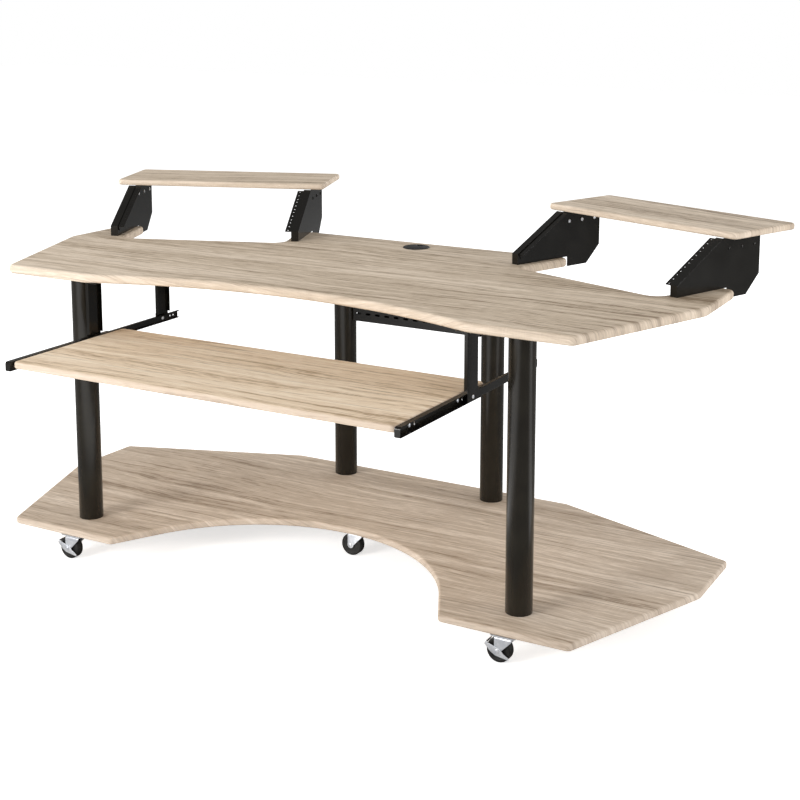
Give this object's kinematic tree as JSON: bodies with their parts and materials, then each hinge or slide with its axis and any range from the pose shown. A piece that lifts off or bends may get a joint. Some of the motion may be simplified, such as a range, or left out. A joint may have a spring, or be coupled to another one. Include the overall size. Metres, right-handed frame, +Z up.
{
  "type": "studio desk",
  "caption": "Rolling studio desk: winged top over a base board on round legs, sliding keyboard tray, and two sloping 19-inch racks with shelves.",
  "frame": {"origin": "On the floor under the middle of the desk's bounding box, with the tray pulled out", "axes": "+X along the desk to the user's right, +Y to the back, +Z up"},
  "size_m": [1.9368, 1.2736, 0.8679],
  "materials": {
    "oak_foil": "rustic oak foil, satin",
    "tray_foil": "rustic oak foil, satin, a little yellower",
    "black_coat": "black powder coat, semi-satin",
    "zinc": "bright zinc plate",
    "black_plastic": "moulded, fine grain",
    "wheel_rubber": "hard rubber, moulded"
  },
  "bodies": {
    "desk": {"base_board": "oak_foil", "desktop_board": "oak_foil", "leg_front_left": "black_coat", "leg_bolt_front_left": "zinc", "leg_stud_front_left": "zinc", "leg_rear_left": "black_coat", "leg_bolt_rear_left": "zinc", "leg_stud_rear_left": "zinc", "leg_front_right": "black_coat", "leg_bolt_front_right": "zinc", "leg_stud_front_right": "zinc", "leg_rear_right": "black_coat", "leg_bolt_rear_right": "zinc", "leg_stud_rear_right": "zinc", "rear_crossbar": "black_coat", "runner_fixed_left": "black_coat", "runner_fixed_right": "black_coat", "tray_bracket_front_left": "black_coat", "tray_bracket_rear_left": "black_coat", "tray_bracket_front_right": "black_coat", "tray_bracket_rear_right": "black_coat", "left_rack_plate_left": "black_coat", "left_rack_plate_right": "black_coat", "left_rack_rail_left": "black_coat", "left_rack_rail_right": "black_coat", "left_rack_shelf": "oak_foil", "right_rack_plate_left": "black_coat", "right_rack_plate_right": "black_coat", "right_rack_rail_left": "black_coat", "right_rack_rail_right": "black_coat", "right_rack_shelf": "oak_foil", "grommet_ring": "black_plastic", "caster_front_left_plate": "zinc", "caster_front_right_plate": "zinc", "caster_middle_plate": "zinc", "caster_rear_left_plate": "zinc", "caster_rear_right_plate": "zinc"},
    "tray": {"tray_board": "tray_foil", "runner_moving_left": "black_coat", "runner_moving_right": "black_coat"},
    "grommet_lid": {"grommet_cap": "black_plastic"},
    "caster_front_left_swivel": {"caster_front_left_fork": "zinc", "caster_front_left_axle": "zinc"},
    "caster_front_left_roll": {"caster_front_left_wheel": "wheel_rubber"},
    "caster_front_left_lever": {"caster_front_left_brake": "zinc"},
    "caster_front_right_swivel": {"caster_front_right_fork": "zinc", "caster_front_right_axle": "zinc"},
    "caster_front_right_roll": {"caster_front_right_wheel": "wheel_rubber"},
    "caster_front_right_lever": {"caster_front_right_brake": "zinc"},
    "caster_middle_swivel": {"caster_middle_fork": "zinc", "caster_middle_axle": "zinc"},
    "caster_middle_roll": {"caster_middle_wheel": "wheel_rubber"},
    "caster_rear_left_swivel": {"caster_rear_left_fork": "zinc", "caster_rear_left_axle": "zinc"},
    "caster_rear_left_roll": {"caster_rear_left_wheel": "wheel_rubber"},
    "caster_rear_right_swivel": {"caster_rear_right_fork": "zinc", "caster_rear_right_axle": "zinc"},
    "caster_rear_right_roll": {"caster_rear_right_wheel": "wheel_rubber"}
  },
  "joints": [
    {"name": "tray_slide", "type": "slide", "parent": "desk", "child": "tray", "axis": [0, 1, 0], "range_m": [0, 0.28]},
    {"name": "grommet_turn", "type": "hinge", "parent": "desk", "child": "grommet_lid", "pos_m": [0, 0.34713, 0.736], "axis": [0, 0, 1], "continuous": true},
    {"name": "front_left_swivel", "type": "hinge", "parent": "desk", "child": "caster_front_left_swivel", "pos_m": [-0.586, -0.34487, 0.0585], "axis": [0, 0, 1], "continuous": true},
    {"name": "front_left_wheel_spin", "type": "hinge", "parent": "caster_front_left_swivel", "child": "caster_front_left_roll", "pos_m": [-0.6, -0.34487, 0.028], "axis": [0, 1, 0], "continuous": true},
    {"name": "front_left_brake_press", "type": "hinge", "parent": "caster_front_left_swivel", "child": "caster_front_left_lever", "pos_m": [-0.6, -0.34487, 0.028], "axis": [0, -1, 0], "range_deg": [0, 12]},
    {"name": "front_right_swivel", "type": "hinge", "parent": "desk", "child": "caster_front_right_swivel", "pos_m": [0.608, -0.34487, 0.0585], "axis": [0, 0, 1], "continuous": true},
    {"name": "front_right_wheel_spin", "type": "hinge", "parent": "caster_front_right_swivel", "child": "caster_front_right_roll", "pos_m": [0.594, -0.34487, 0.028], "axis": [0, 1, 0], "continuous": true},
    {"name": "front_right_brake_press", "type": "hinge", "parent": "caster_front_right_swivel", "child": "caster_front_right_lever", "pos_m": [0.594, -0.34487, 0.028], "axis": [0, -1, 0], "range_deg": [0, 12]},
    {"name": "middle_swivel", "type": "hinge", "parent": "desk", "child": "caster_middle_swivel", "pos_m": [0.014, 0.02513, 0.0585], "axis": [0, 0, 1], "continuous": true},
    {"name": "middle_wheel_spin", "type": "hinge", "parent": "caster_middle_swivel", "child": "caster_middle_roll", "pos_m": [0, 0.02513, 0.028], "axis": [0, 1, 0], "continuous": true},
    {"name": "rear_left_swivel", "type": "hinge", "parent": "desk", "child": "caster_rear_left_swivel", "pos_m": [-0.626, 0.24213, 0.0585], "axis": [0, 0, 1], "continuous": true},
    {"name": "rear_left_wheel_spin", "type": "hinge", "parent": "caster_rear_left_swivel", "child": "caster_rear_left_roll", "pos_m": [-0.64, 0.24213, 0.028], "axis": [0, 1, 0], "continuous": true},
    {"name": "rear_right_swivel", "type": "hinge", "parent": "desk", "child": "caster_rear_right_swivel", "pos_m": [0.654, 0.24213, 0.0585], "axis": [0, 0, 1], "continuous": true},
    {"name": "rear_right_wheel_spin", "type": "hinge", "parent": "caster_rear_right_swivel", "child": "caster_rear_right_roll", "pos_m": [0.64, 0.24213, 0.028], "axis": [0, 1, 0], "continuous": true}
  ]
}
